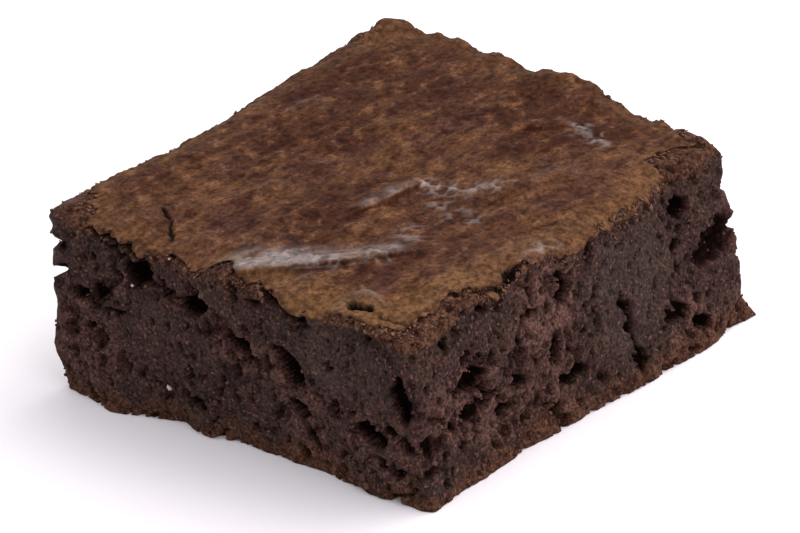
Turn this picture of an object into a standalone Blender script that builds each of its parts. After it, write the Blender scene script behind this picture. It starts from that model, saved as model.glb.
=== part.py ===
"""A square-cut fudge brownie: one solid block of baked crumb under a wrinkled crust.

The block starts as a finely divided cube. Every point of it is carried to the leaning cut block that
its eight corners describe, its edges are rounded, and then its surface is moved in or out by relief:
lumps and crags on the cut sides, air pockets, tears, and folds and sags in the crust on top.
All sizes are millimetres until the mesh is finished, and the block rests on a flat base at z = 0.
"""

import math

import bmesh
import bpy
import numpy as np

MM = 0.001

# The block: a 2.5 inch square, about an inch high
SIDE = 63.5
HEIGHT = 25.6

# How far each corner stands off a plain box: (x, y) at the base and (x, y, z) at the top.
# The knife leaned, and the cake rose more towards the far corner than towards the right one.
BASE_SHIFT = {"left": (-3.3, -1.6), "near": (0.1, 0.8), "right": (2.6, -1.6), "far": (0.5, 1.0)}
TOP_SHIFT = {
    "left": (-0.7, -0.4, 0.8),
    "near": (-0.2, -0.7, -1.3),
    "right": (-1.1, -1.3, -0.8),
    "far": (1.0, 2.9, 3.9),
}
CORNER_SIGNS = {"left": (-1, -1), "near": (1, -1), "right": (1, 1), "far": (-1, 1)}

# Divisions of the cube along x, y and z, and how much closer they crowd towards its edges
DIVISIONS = (45, 45, 18)
CROWDING = 0.22

# Rounding of the upright corners and of the crust's edge
CORNER_RADIUS = 2.2
RIM_RADIUS = 1.1
EDGE_SHARPNESS = 14

# Relief of the cut sides
LUMP_CELL, LUMP_DEPTH, LUMP_SEED = 15.0, 1.1, 317
CRAG_CELL, CRAG_DEPTH, CRAG_SEED = 5.2, 0.6, 255
CHIP_CELL, CHIP_DEPTH, CHIP_SEED = 2.9, 0.3, 2

# The crust's lip stands proud of the crumb, over a groove
LIP_DEPTH, LIP_HEIGHT = 0.45, 1.3
GROOVE_DEPTH, GROOVE_DROP = 0.7, 2.4

# Air pockets and tears that the knife opened, as (along, up, half length, half width, tilt in degrees,
# depth). "along" runs left to right as one faces that side, from the middle of the side.
FRONT_POCKETS = [
    (-16.9, 20.9, 1.7, 1.4, 0, 3.0),
    (-7.3, 18.7, 2.0, 1.4, 20, 3.0),
    (1.4, 15.5, 2.7, 0.9, -50, 2.5),
    (10.2, 14.7, 3.3, 1.6, -45, 3.6),
    (10.4, 8.9, 1.7, 1.3, 0, 2.6),
    (12.0, 4.9, 2.5, 0.8, -60, 2.0),
    (23.6, 9.0, 2.4, 1.3, 0, 2.6),
    (29.3, 15.0, 3.0, 1.0, 90, 2.4),
    (-9.5, 4.8, 2.7, 0.7, -20, 1.5),
    (-19.3, 25.0, 5.0, 0.6, -8, 1.8),
    (10.1, 23.4, 4.2, 0.7, -25, 2.0),
]
RIGHT_POCKETS = [
    (-22.5, 13.5, 3.0, 1.0, 12, 2.3),
    (-19.6, 10.6, 2.5, 0.9, 0, 2.3),
    (-16.1, 7.0, 1.3, 0.7, 40, 1.5),
    (-3.2, 18.9, 2.5, 0.8, 36, 2.0),
    (6.6, 9.6, 3.7, 0.55, 96, 1.6),
    (8.2, 2.9, 1.6, 1.0, 60, 1.5),
    (-6.9, 11.2, 2.1, 0.8, 80, 2.0),
    (-4.0, 6.4, 2.6, 1.1, -12, 2.2),
    (15.6, 6.6, 2.4, 1.2, -8, 1.8),
    (19.6, 3.8, 1.8, 1.0, -20, 1.6),
    (20.7, 19.0, 1.8, 1.4, -30, 2.8),
    (25.6, 12.4, 4.5, 2.3, 15, 1.2),
]
# The two sides that are alike without being copies have as many pockets, drawn from these seeds
BACK_SEED, LEFT_SEED = 41, 67
DRAWN_POCKETS = 11
POCKET_WALL = 0.7

# Splits that wrap round the left corner, as (up, half height, depth, slope)
CORNER_SPLITS = [(22.0, 0.75, 2.3, 0.05), (17.9, 0.6, 2.1, 0.4)]
# Crumb that spreads at the foot of the right corner: radius of the spread, its height and its reach
TOE_RADIUS, TOE_HEIGHT, TOE_REACH = 7.0, 2.6, 1.6

# Where the crumb swells out past the cut, or has pulled back: (x, y, z, radius, extra)
SWELLS = [
    (31.7, -14.0, 1.0, 14.0, -1.1),
    (32.0, 5.0, 0.0, 8.0, 0.8),
    (32.5, 21.0, 0.0, 10.0, 0.9),
    (32.0, 31.0, 24.0, 8.0, 0.7),
    (-34.0, -33.0, 13.0, 8.0, -0.5),
    (-23.0, -33.0, 0.0, 8.0, 0.9),
    (-7.0, -33.0, 0.0, 6.0, 0.6),
    (19.0, -31.5, 0.0, 9.0, 0.5),
    (32.0, -32.0, 0.0, 7.0, 0.9),
]

# Relief of the crust: broad sag, ripples that run a little aslant, and named folds
SAG_CELL, SAG_DEPTH, SAG_SEED = 19.0, 0.7, 93
RIPPLE_LENGTH, RIPPLE_WIDTH, RIPPLE_DEPTH = 13.0, 3.6, 0.34
RIPPLE_TURN = 24.0
# Folds where the crust slid and rucked up, as (x, y, radius of the bend, start and end of the arc in
# degrees, height)
FOLDS = [
    (-34.0, 20.9, 62.6, -62.0, -32.0, 0.85),
    (-58.7, 5.3, 64.1, -18.5, -2.0, 0.7),
    (-9.0, 42.0, 29.0, -62.0, -38.0, 0.55),
]
FOLD_RISE, FOLD_FALL, FOLD_END = 4.2, 2.4, 5.0
# The rim sags all round. It drops further where it has crumbled, and less (below 0) where the cake rose
# there: (x, y, radius, drop)
RIM_SAG, RIM_SAG_WIDTH = 0.55, 3.2
CRUMBLED = [
    (31.0, -27.0, 9.0, 1.7),
    (31.5, -15.0, 6.0, 0.9),
    (-3.0, -32.0, 7.0, 0.8),
    (-24.5, 33.0, 5.0, 0.6),
    (-17.0, 34.0, 4.5, -0.7),
    (5.5, 33.0, 11.0, -1.7),
    (24.0, 32.0, 5.0, -0.5),
    (-31.7, -14.0, 7.0, 0.4),
    (-31.0, -30.0, 5.0, -0.5),
    (-31.0, 31.0, 6.0, -0.5),
]

CRUMB_COLOUR = (0.046, 0.024, 0.019, 1.0)


def hashed(cells, seed):
    """A number from -1 to 1 for each whole-numbered cell, the same on each run."""
    x, y, z = (cells[:, axis].astype(np.int64) for axis in range(3))
    mixed = ((x * 73856093) ^ (y * 19349663) ^ (z * 83492791) ^ (seed * 2654435761)) & 0xFFFFFFFF
    for _ in range(2):
        mixed = ((mixed ^ (mixed >> 16)) * 73244475) & 0xFFFFFFFF
    return (mixed ^ (mixed >> 16)) / 2147483647.5 - 1.0


def noise(points, cell, seed):
    """Smooth noise from -1 to 1 whose bumps are about one cell across."""
    turned = np.stack(
        [
            0.80 * points[:, 0] + 0.60 * points[:, 1],
            -0.48 * points[:, 0] + 0.64 * points[:, 1] + 0.60 * points[:, 2],
            0.36 * points[:, 0] - 0.48 * points[:, 1] + 0.80 * points[:, 2],
        ],
        axis=1,
    )
    scaled = turned / cell
    low = np.floor(scaled)
    part = scaled - low
    part = part**3 * (part * (part * 6 - 15) + 10)
    total = np.zeros(len(points))
    for corner in np.ndindex(2, 2, 2):
        share = np.prod(np.where(corner, part, 1 - part), axis=1)
        total += share * hashed(low + np.array(corner), seed)
    return total


def eased(value):
    """0 to 1 with a soft start and end, for values from 0 to 1."""
    held = np.clip(value, 0.0, 1.0)
    return held * held * (3 - 2 * held)


def corner_blend(a, b, shifts, axis):
    """A corner value spread over the block: a and b run from -1 to 1 along x and y."""
    total = np.zeros(len(a))
    for name, (x_sign, y_sign) in CORNER_SIGNS.items():
        total += shifts[name][axis] * (1 + x_sign * a) * (1 + y_sign * b) / 4
    return total


def block_point(a, b, up):
    """The plain leaning block at a and b from -1 to 1, and up from 0 at the base to 1 at the crust."""
    base_x, base_y = (corner_blend(a, b, BASE_SHIFT, axis) for axis in (0, 1))
    top_x, top_y, top_z = (corner_blend(a, b, TOP_SHIFT, axis) for axis in (0, 1, 2))
    x = a * SIDE / 2 + base_x * (1 - up) + top_x * up
    y = b * SIDE / 2 + base_y * (1 - up) + top_y * up
    top = HEIGHT + top_z
    return x, y, up * top, top


def pocket_depth(along, up, pockets):
    """How deep the opened pockets are: each is a tilted ellipse with steep walls and a flat floor."""
    depth = np.zeros(len(along))
    for middle, height, half_length, half_width, tilt, deep in pockets:
        turn = math.radians(tilt)
        run = (along - middle) * math.cos(turn) + (up - height) * math.sin(turn)
        rise = (up - height) * math.cos(turn) - (along - middle) * math.sin(turn)
        reach = np.hypot(run / half_length, rise / half_width)
        depth = np.maximum(depth, deep * eased((1.35 - reach) / POCKET_WALL))
    return depth


def drawn_pockets(seed):
    """Pockets for a side, drawn at random: one in each upright strip, so that none is bare."""
    draw = np.random.RandomState(seed)
    strip = (SIDE - 6) / DRAWN_POCKETS
    found = []
    for number in range(DRAWN_POCKETS):
        along = -SIDE / 2 + 3 + strip * (number + draw.uniform(0.25, 0.75))
        height = draw.uniform(4.0, 21.0)
        half_length = draw.uniform(1.2, 3.2)
        half_width = half_length * draw.uniform(0.3, 0.75)
        tilt = draw.uniform(-70, 70)
        found.append((along, height, half_length, half_width, tilt, draw.uniform(1.5, 3.0)))
    return found


def side_relief(points, facing, top):
    """How far the cut sides stand out, where facing is the direction that each point faces."""
    out = LUMP_DEPTH * noise(points, LUMP_CELL, LUMP_SEED)
    out += CRAG_DEPTH * noise(points, CRAG_CELL, CRAG_SEED)
    out += CHIP_DEPTH * noise(points, CHIP_CELL, CHIP_SEED)
    x, y, z = points.T
    sides = [
        (-facing[:, 1], x, FRONT_POCKETS),
        (facing[:, 0], y, RIGHT_POCKETS),
        (facing[:, 1], -x, drawn_pockets(BACK_SEED)),
        (-facing[:, 0], -y, drawn_pockets(LEFT_SEED)),
    ]
    ragged = 0.5 * noise(points, 2.2, 4)
    for towards, along, pockets in sides:
        out -= eased((towards - 0.3) / 0.4) * pocket_depth(along + ragged, z - ragged, pockets)
    at_corner = eased((-facing[:, 0] - 0.15) / 0.5) * eased((-facing[:, 1] - 0.05) / 0.5)
    for up, half_height, deep, slope in CORNER_SPLITS:
        away = np.abs(z - up - slope * (x - y)) / half_height
        out -= at_corner * deep * eased(1.6 - away)
    below_rim = top - z
    patchy = 0.5 + 0.5 * noise(points, 7.0, 5)
    out += LIP_DEPTH * patchy * eased(1.6 - below_rim / LIP_HEIGHT)
    out -= GROOVE_DEPTH * patchy * eased(1 - np.abs(below_rim - GROOVE_DROP) / LIP_HEIGHT)
    from_toe = np.hypot(x - SIDE / 2, y - SIDE / 2) / TOE_RADIUS
    out += TOE_REACH * eased(1 - from_toe) * eased(1 - z / TOE_HEIGHT)
    for mid_x, mid_y, mid_z, radius, extra in SWELLS:
        out += extra * eased(1 - np.sqrt((x - mid_x) ** 2 + (y - mid_y) ** 2 + (z - mid_z) ** 2) / radius)
    return out


def fold_height(x, y):
    """The rucks in the crust: each runs along an arc, with a slow rise behind it and a steeper fall."""
    height = np.zeros(len(x))
    for mid_x, mid_y, radius, start, end, high in FOLDS:
        distance = np.hypot(x - mid_x, y - mid_y) - radius
        angle = np.arctan2(y - mid_y, x - mid_x)
        along = eased((angle - math.radians(start)) * radius / FOLD_END)
        along *= eased((math.radians(end) - angle) * radius / FOLD_END)
        profile = np.where(distance < 0, eased(1 + distance / FOLD_RISE), eased(1 - distance / FOLD_FALL))
        height = np.maximum(height, high * along * profile)
    return height


def crust_relief(x, y, a, b):
    """How far the crust stands above its plain sloping level, in millimetres."""
    flat = np.stack([x, y, np.zeros(len(x))], axis=1)
    turn = math.radians(RIPPLE_TURN)
    across = (x * math.cos(turn) - y * math.sin(turn)) / RIPPLE_WIDTH
    onward = (x * math.sin(turn) + y * math.cos(turn)) / RIPPLE_LENGTH
    ripples = noise(np.stack([across, onward, np.zeros(len(x))], axis=1), 1.0, 11)
    out = SAG_DEPTH * noise(flat, SAG_CELL, SAG_SEED) + RIPPLE_DEPTH * ripples + fold_height(x, y)
    from_rim = (1 - np.maximum(np.abs(a), np.abs(b))) * SIDE / 2
    worn = 0.55 + 0.45 * noise(flat, 5.0, 13)
    out -= RIM_SAG * worn * eased(1 - from_rim / RIM_SAG_WIDTH) ** 2
    for mid_x, mid_y, radius, drop in CRUMBLED:
        out -= drop * eased(1 - np.hypot(x - mid_x, y - mid_y) / radius)
    return out


def brownie_points(cube):
    """Carries the cube's points, from -1 to 1 on each axis, to the finished brownie in millimetres."""
    spread = (1 - CROWDING) * cube + CROWDING * np.sin(cube * math.pi / 2)
    a, b = spread[:, 0], spread[:, 1]
    up = (spread[:, 2] + 1) / 2
    facing = np.sign(cube) * np.abs(cube) ** EDGE_SHARPNESS
    facing[:, 2] = np.maximum(facing[:, 2], 0)
    length = np.linalg.norm(facing, axis=1)
    facing /= np.where(length > 1e-9, length, 1)[:, None]

    inset = 1 - 2 * CORNER_RADIUS / SIDE
    x, y, z, top = block_point(a * inset, b * inset, up)
    x += CORNER_RADIUS * facing[:, 0]
    y += CORNER_RADIUS * facing[:, 1]
    z *= 1 - RIM_RADIUS / top
    z += RIM_RADIUS * facing[:, 2]

    z += up**3 * crust_relief(x, y, a, b)
    points = np.stack([x, y, z], axis=1)
    outward = np.hypot(facing[:, 0], facing[:, 1])
    relief = side_relief(points, facing, top + crust_relief(x, y, a, b)) * outward
    x += relief * facing[:, 0]
    y += relief * facing[:, 1]
    z[cube[:, 2] < -0.999] = 0.0
    return np.stack([x, y, z], axis=1)


def divided_cube(divisions):
    """A cube from -1 to 1 with its edges along x, y and z cut into that many parts."""
    form = bmesh.new()
    bmesh.ops.create_cube(form, size=2.0)
    for axis, parts in enumerate(divisions):
        along = [e for e in form.edges if abs(e.verts[0].co[axis] - e.verts[1].co[axis]) > 1e-6]
        bmesh.ops.subdivide_edges(form, edges=along, cuts=parts - 1, use_grid_fill=True)
    return form


def crumb_material():
    """Dark baked chocolate crumb, matt and a little moist."""
    material = bpy.data.materials.new("baked_chocolate_crumb")
    material.use_nodes = True
    shader = material.node_tree.nodes["Principled BSDF"]
    shader.inputs["Base Color"].default_value = CRUMB_COLOUR
    shader.inputs["Roughness"].default_value = 0.7
    shader.inputs["Metallic"].default_value = 0.0
    return material


def make_brownie(collection):
    """Builds the block, centres its footprint on the origin and rests it on z = 0."""
    form = divided_cube(DIVISIONS)
    cube = np.array([vertex.co for vertex in form.verts])
    points = brownie_points(cube)
    middle = (points.min(axis=0) + points.max(axis=0)) / 2
    points[:, :2] -= middle[:2]
    for vertex, point in zip(form.verts, points * MM):
        vertex.co = point
    bmesh.ops.recalc_face_normals(form, faces=form.faces)
    mesh = bpy.data.meshes.new("brownie")
    form.to_mesh(mesh)
    form.free()
    mesh.materials.append(crumb_material())
    mesh.shade_smooth()
    brownie = bpy.data.objects.new("brownie", mesh)
    collection.objects.link(brownie)
    return brownie


def main():
    for old in list(bpy.data.objects):
        bpy.data.objects.remove(old)
    collection = bpy.data.collections.new("brownie_part")
    bpy.context.scene.collection.children.link(collection)
    make_brownie(collection)


main()
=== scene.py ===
"""A square-cut fudge brownie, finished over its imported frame.

Three things are made: the block of baked crumb with its cut, torn and opened sides, the thin crust that
lies over it and droops or has broken back along the edges, and the loose bits that cling to both.
Lengths are millimetres and are turned to metres where a mesh is made.
"""

import math

import bpy
import numpy as np
from mathutils import Matrix


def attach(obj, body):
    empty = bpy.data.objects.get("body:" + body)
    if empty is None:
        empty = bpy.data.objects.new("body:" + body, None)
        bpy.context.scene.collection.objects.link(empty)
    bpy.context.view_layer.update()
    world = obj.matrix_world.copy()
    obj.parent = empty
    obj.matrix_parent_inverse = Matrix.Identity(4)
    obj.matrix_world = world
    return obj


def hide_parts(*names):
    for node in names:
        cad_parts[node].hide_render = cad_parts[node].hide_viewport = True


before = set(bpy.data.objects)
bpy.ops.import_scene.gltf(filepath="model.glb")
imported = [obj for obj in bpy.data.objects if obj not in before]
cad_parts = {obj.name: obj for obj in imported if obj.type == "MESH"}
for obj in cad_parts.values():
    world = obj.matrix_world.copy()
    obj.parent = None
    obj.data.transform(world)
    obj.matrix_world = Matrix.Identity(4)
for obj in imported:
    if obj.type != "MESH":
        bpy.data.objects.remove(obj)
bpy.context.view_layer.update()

MM = 0.001

# The block: a 2.5 inch square, about an inch high
SIDE = 63.5
HEIGHT = 25.6

# How far each corner stands off a plain box: (x, y) at the base and (x, y, z) at the top.
BASE_SHIFT = {"left": (-3.3, -1.6), "near": (0.1, 0.8), "right": (2.6, -1.6), "far": (0.5, 1.0)}
TOP_SHIFT = {
    "left": (-0.7, -0.4, 0.8),
    "near": (-0.2, -0.7, -1.3),
    "right": (-1.1, -1.3, -0.8),
    "far": (1.0, 2.9, 3.9),
}
CORNER_SIGNS = {"left": (-1, -1), "near": (1, -1), "right": (1, 1), "far": (-1, 1)}
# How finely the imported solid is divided, which sets its box, and how far its lines crowd to the edges
PLAIN_DIVISIONS = (45, 45, 18)
CROWDING = 0.22

# Rounding of the upright corners and of the crust's edge
CORNER_RADIUS = 2.2
RIM_RADIUS = 1.1
EDGE_SHARPNESS = 14

# Relief of the cut sides
LUMP_CELL, LUMP_DEPTH, LUMP_SEED = 15.0, 1.1, 317
CRAG_CELL, CRAG_DEPTH, CRAG_SEED = 5.2, 0.6, 255
CHIP_CELL, CHIP_DEPTH, CHIP_SEED = 2.9, 0.3, 2
LIP_DEPTH, LIP_HEIGHT = 0.45, 1.3
GROOVE_DEPTH, GROOVE_DROP = 0.7, 2.4

# Air pockets and tears, as (along, up, half length, half width, tilt in degrees, depth).
# "along" runs left to right as one faces that side, from the middle of the side.
FRONT_POCKETS = [
    (-16.9, 20.9, 1.7, 1.4, 0, 3.0),
    (-7.3, 18.7, 2.0, 1.4, 20, 3.0),
    (1.4, 15.5, 2.7, 0.9, -50, 2.5),
    (10.2, 14.7, 3.3, 1.6, -45, 3.6),
    (10.4, 8.9, 1.7, 1.3, 0, 2.6),
    (12.0, 4.9, 2.5, 0.8, -60, 2.0),
    (23.6, 9.0, 2.4, 1.3, 0, 2.6),
    (29.3, 15.0, 3.0, 1.0, 90, 2.4),
    (-9.5, 4.8, 2.7, 0.7, -20, 1.5),
    (-19.3, 25.0, 5.0, 0.6, -8, 1.8),
    (10.1, 23.4, 4.2, 0.7, -25, 2.0),
]
RIGHT_POCKETS = [
    (-22.5, 13.5, 3.0, 1.0, 12, 2.3),
    (-19.6, 10.6, 2.5, 0.9, 0, 2.3),
    (-16.1, 7.0, 1.3, 0.7, 40, 1.5),
    (-3.2, 18.9, 2.5, 0.8, 36, 2.0),
    (6.6, 9.6, 3.7, 0.55, 96, 1.6),
    (8.2, 2.9, 1.6, 1.0, 60, 1.5),
    (-6.9, 11.2, 2.1, 0.8, 80, 2.0),
    (-4.0, 6.4, 2.6, 1.1, -12, 2.2),
    (15.6, 6.6, 2.4, 1.2, -8, 1.8),
    (19.6, 3.8, 1.8, 1.0, -20, 1.6),
    (20.7, 19.0, 1.8, 1.4, -30, 2.8),
    (25.6, 12.4, 4.5, 2.3, 15, 1.2),
]
# Smaller holes of the same kind, too fine for the plain block
FRONT_HOLES = [
    (-24.3, 22.0, 0.6, 0.5, 0, 1.4),
    (-27.5, 15.6, 1.1, 0.6, 0, 1.5),
    (-24.2, 16.8, 0.7, 1.2, 0, 1.5),
    (-11.7, 19.5, 1.7, 0.35, -45, 1.5),
    (17.7, 4.3, 0.8, 0.5, 20, 1.3),
    (18.5, 11.9, 0.9, 0.5, -30, 1.3),
    (-6.1, 15.6, 0.8, 0.4, -50, 1.2),
    (-15.0, 21.6, 1.5, 1.3, 0, 2.4),
    (-5.2, 19.3, 1.5, 1.3, 20, 2.4),
    (-10.6, 20.2, 1.9, 0.4, -35, 1.5),
    (-23.4, 16.9, 0.6, 1.2, 10, 1.5),
    (-21.4, 14.7, 2.0, 0.4, 8, 1.4),
    (-26.2, 11.4, 0.9, 0.6, 0, 1.4),
    (5.2, 22.4, 1.0, 0.5, -10, 1.3),
    (-20.3, 23.6, 3.0, 0.3, -20, 1.3),
    (18.0, 17.0, 0.8, 0.4, -20, 1.2),
    (27.2, 10.2, 1.0, 0.8, 20, 1.6),
    (31.4, 8.5, 1.6, 0.5, 85, 1.6),
    (27.2, 4.2, 0.6, 0.5, 0, 1.2),
    (31.4, 5.0, 0.5, 0.6, 0, 1.2),
    (24.5, 5.4, 1.2, 0.5, -30, 1.4),
]
RIGHT_HOLES = [
    (-24.9, 19.9, 0.8, 1.0, 0, 1.6),
    (-22.2, 16.7, 0.8, 0.45, 30, 1.3),
    (-18.5, 15.4, 1.0, 0.5, 50, 1.2),
    (-21.9, 9.3, 1.6, 1.0, 10, 2.0),
    (-21.5, 22.5, 0.8, 0.35, 10, 1.1),
    (-17.9, 21.7, 1.2, 0.4, -5, 1.3),
    (-10.8, 17.6, 1.9, 0.45, 12, 1.4),
    (-13.6, 15.6, 0.5, 1.1, 10, 1.3),
    (-9.2, 19.9, 0.5, 0.9, 0, 1.3),
    (-4.6, 16.7, 1.3, 0.6, 35, 1.5),
    (-1.6, 11.5, 0.6, 0.5, 0, 1.1),
    (-4.4, 9.9, 0.6, 0.8, 0, 1.1),
    (-12.9, 4.8, 1.2, 0.6, 35, 1.4),
    (-7.5, 3.3, 1.1, 0.6, 20, 1.4),
    (-12.9, 9.6, 0.8, 0.7, 0, 1.5),
    (-9.9, 11.0, 0.5, 0.5, 0, 1.1),
    (1.8, 20.9, 0.6, 1.1, -10, 1.4),
    (18.5, 14.6, 0.8, 0.7, 0, 1.5),
    (17.6, 12.2, 0.5, 0.8, 0, 1.2),
    (18.9, 9.4, 0.5, 0.5, 0, 1.0),
    (-26.2, 9.4, 0.8, 0.9, 20, 1.5),
    (-22.1, 17.3, 0.9, 0.4, 15, 1.3),
    (-26.9, 3.1, 0.4, 0.5, 0, 1.1),
    (-15.0, 14.5, 0.7, 0.4, 40, 1.3),
    (-0.8, 7.8, 0.4, 0.7, 0, 1.1),
]
# Seeds and numbers of the pockets and holes of the two sides that the photo doesn't show
BACK_SEED, LEFT_SEED = 41, 67
DRAWN_POCKETS, DRAWN_HOLES = 11, 16
# The share of a pocket's size that its walls take up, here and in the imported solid, and how far the
# finished pockets' edges wander
POCKET_WALL, PLAIN_WALL, POCKET_WANDER = 0.35, 0.7, 0.55

# Splits that wrap round the left corner, as (up, half height, depth, slope)
CORNER_SPLITS = [(22.0, 0.75, 2.3, 0.05), (17.9, 0.6, 2.1, 0.4)]
# The foot that spreads at the right corner: how far round it, how high and how far out
TOE_RADIUS, TOE_HEIGHT, TOE_REACH = 7.0, 2.6, 1.6
# Pores of the finished crumb: (cell, seed, share of the jagged edge, noise level they start at, how much
# lower that is where the crumb is torn, softness of their edge, depth)
PORES = [
    (2.2, 55, 1.0, 0.92, 0.56, 0.10, 1.2),
    (1.2, 56, 1.0, 0.84, 0.46, 0.12, 1.0),
    (0.85, 49, 0.0, 0.64, 0.28, 0.15, 0.6),
]

# Where the crumb swells out past the cut, or has pulled back: (x, y, z, radius, extra)
SWELLS = [
    (31.7, -14.0, 1.0, 14.0, -1.1),
    (32.0, 5.0, 0.0, 8.0, 0.8),
    (32.5, 21.0, 0.0, 10.0, 0.9),
    (32.0, 31.0, 24.0, 8.0, 0.7),
    (-34.0, -33.0, 13.0, 8.0, -0.5),
    (-23.0, -33.0, 0.0, 8.0, 0.9),
    (-7.0, -33.0, 0.0, 6.0, 0.6),
    (19.0, -31.5, 0.0, 9.0, 0.5),
    (32.0, -32.0, 0.0, 7.0, 0.9),
]

# Relief of the crust
SAG_CELL, SAG_DEPTH, SAG_SEED = 19.0, 0.7, 93
RIPPLE_LENGTH, RIPPLE_WIDTH, RIPPLE_DEPTH = 13.0, 3.6, 0.34
RIPPLE_TURN = 24.0
# Rucks that run along arcs: (middle x, middle y, radius, start and end in degrees, height), then how wide
# their rise and fall are and over what length they fade out
FOLDS = [
    (-34.0, 20.9, 62.6, -62.0, -32.0, 0.85),
    (-58.7, 5.3, 64.1, -18.5, -2.0, 0.7),
    (-9.0, 42.0, 29.0, -62.0, -38.0, 0.55),
]
FOLD_RISE, FOLD_FALL, FOLD_END = 4.2, 1.5, 5.0
# The stretched skin behind a fold's crest, how far the crest leans over, and the shaded tuck under it
CREST_WIDTH, CREST_OVERHANG = 6.5, 0.7
TUCK_DROP, TUCK_WIDTH = 0.8, 0.35
RIM_SAG, RIM_SAG_WIDTH = 0.55, 3.2
# Where the top has crumbled down, or stands higher (below 0): (x, y, radius, depth)
CRUMBLED = [
    (31.0, -27.0, 9.0, 1.7),
    (31.5, -15.0, 6.0, 0.9),
    (-3.0, -32.0, 7.0, 0.8),
    (-24.5, 33.0, 5.0, 0.6),
    (-17.0, 34.0, 4.5, -0.7),
    (5.5, 33.0, 11.0, -1.7),
    (24.0, 32.0, 5.0, -0.5),
    (-31.7, -14.0, 7.0, 0.4),
    (-31.0, -30.0, 5.0, -0.5),
    (-31.0, 31.0, 6.0, -0.5),
]

# How far the crust reaches past the rim: everywhere, and at (x, y, radius, extra reach)
CRUST_REACH = 0.2
REACHES = [
    (-31.7, -31.7, 9.0, -3.2),
    (-13.0, -31.7, 7.0, 0.3),
    (-0.5, -31.7, 5.5, -1.8),
    (13.0, -31.7, 6.5, 1.3),
    (31.7, -30.0, 8.0, -2.6),
    (31.7, -22.0, 8.0, -2.4),
    (31.7, -12.0, 8.0, 0.4),
    (31.7, 3.0, 9.0, 1.2),
    (31.7, 14.0, 7.0, 0.6),
    (31.7, 27.0, 8.0, -4.5),
    (4.0, 31.7, 26.0, 1.0),
]
# Where the crust's lip has lifted off the crumb: (x, y, radius, lift)
LIFTED = [(30.5, -13.0, 6.5, 0.8), (10.5, -31.7, 6.0, 0.4), (-20.0, -31.0, 7.0, 0.4)]
CRUST_THICKNESS = 0.12
# How far the crumb is sunk under the crust, and how deep the hidden top of the block and the hidden
# underside of the crust lie under the plain top
CRUST_BED, BLOCK_SUNK, CRUST_SUNK = 0.22, 1.6, 1.9
# How far in the crust's edge slants as it breaks, and how far in and down its underside then starts
EDGE_SLANT, UNDERSIDE_IN, UNDERSIDE_DOWN = 0.12, 1.3, 0.15
# How far in from its edge the crust has crumb grains standing through it
EDGE_OVERLAP = 0.5
# Where the crust's folds are crumpled and shiny, then where it is wrinkled into a shiny lace, as
# (x, y, radius, strength)
CRUMPLES = [
    (2.4, -28.4, 7.0, 0.7),
    (5.4, -26.0, 7.0, 0.9),
    (9.8, -21.6, 6.0, 0.4),
    (13.4, -17.2, 5.5, 0.3),
    (4.4, -7.8, 3.0, 0.5),
    (5.2, -4.4, 3.0, 0.5),
]
LACES = [
    (6.6, -0.8, 3.0, 1.0),
    (9.8, 0.0, 3.2, 1.1),
    (12.6, 1.2, 3.2, 1.0),
    (15.2, 3.8, 3.0, 0.7),
    (11.6, -3.6, 3.0, 0.7),
    (14.8, -4.0, 3.0, 0.7),
    (18.0, -4.5, 2.6, 0.7),
    (14.0, -11.2, 4.0, 0.7),
    (9.2, -25.2, 4.0, 0.6),
    (12.2, -21.8, 4.0, 0.7),
    (14.6, -17.8, 4.0, 0.7),
    (13.5, 21.8, 3.0, 1.0),
    (17.5, 21.2, 3.0, 1.0),
    (31.0, -5.4, 4.0, 0.8),
]
# Rings where a bubble raised the crust and broke: (x, y, radius, height)
BLISTERS = [
    (20.8, -29.0, 2.4, 0.55),
    (-21.0, 6.0, 2.8, 0.2),
    (-8.0, -13.0, 3.4, 0.2),
    (21.0, 9.0, 3.0, 0.25),
]
# Splits through the crust: (x, y) at each end, half width, depth
CRUST_CRACKS = [
    (-18.7, -23.5, -15.9, -25.3, 0.2, 0.6),
    (-15.5, -25.6, -12.0, -28.8, 0.24, 0.6),
    (20.4, -29.6, 23.2, -28.9, 0.5, 1.3),
    (25.3, -29.8, 30.0, -27.6, 0.3, 0.6),
    (30.4, -18.2, 31.0, -14.4, 0.34, 1.2),
    (31.0, -13.6, 30.9, -10.2, 0.34, 1.2),
]

# Where the knife left the crumb smooth (above 0) or pulled it open (below 0), as
# (side, along, up, half length, half height, strength)
KNIFE_MARKS = [
    ("front", 20.0, 17.5, 8.0, 5.0, 0.8),
    ("front", -12.5, 12.0, 7.0, 5.0, 0.5),
    ("front", 4.0, 5.0, 5.0, 3.5, 0.5),
    ("front", -28.0, 9.0, 6.0, 7.0, -0.6),
    ("front", -5.0, 18.5, 5.0, 3.0, -0.6),
    ("front", 2.0, 14.5, 4.0, 3.0, -0.6),
    ("front", 10.0, 12.0, 4.5, 4.0, -0.8),
    ("front", 12.0, 5.5, 5.0, 4.0, -0.7),
    ("front", 25.0, 7.0, 7.0, 5.0, -0.4),
    ("right", 7.0, 13.0, 9.0, 7.0, 0.9),
    ("right", -20.0, 18.0, 6.0, 3.0, 0.3),
    ("right", -9.0, 16.5, 6.0, 5.0, -0.7),
    ("right", -27.0, 4.0, 5.0, 3.0, 0.4),
    ("right", -24.0, 12.0, 6.0, 5.0, -0.7),
    ("right", -16.0, 7.0, 7.0, 4.0, -0.7),
    ("right", -6.0, 10.0, 4.0, 8.0, -0.5),
    ("right", -4.0, 19.0, 4.0, 3.0, -0.6),
    ("right", 17.0, 5.0, 5.0, 4.0, -0.6),
    ("right", 26.0, 13.0, 6.0, 10.0, -0.1),
]

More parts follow.
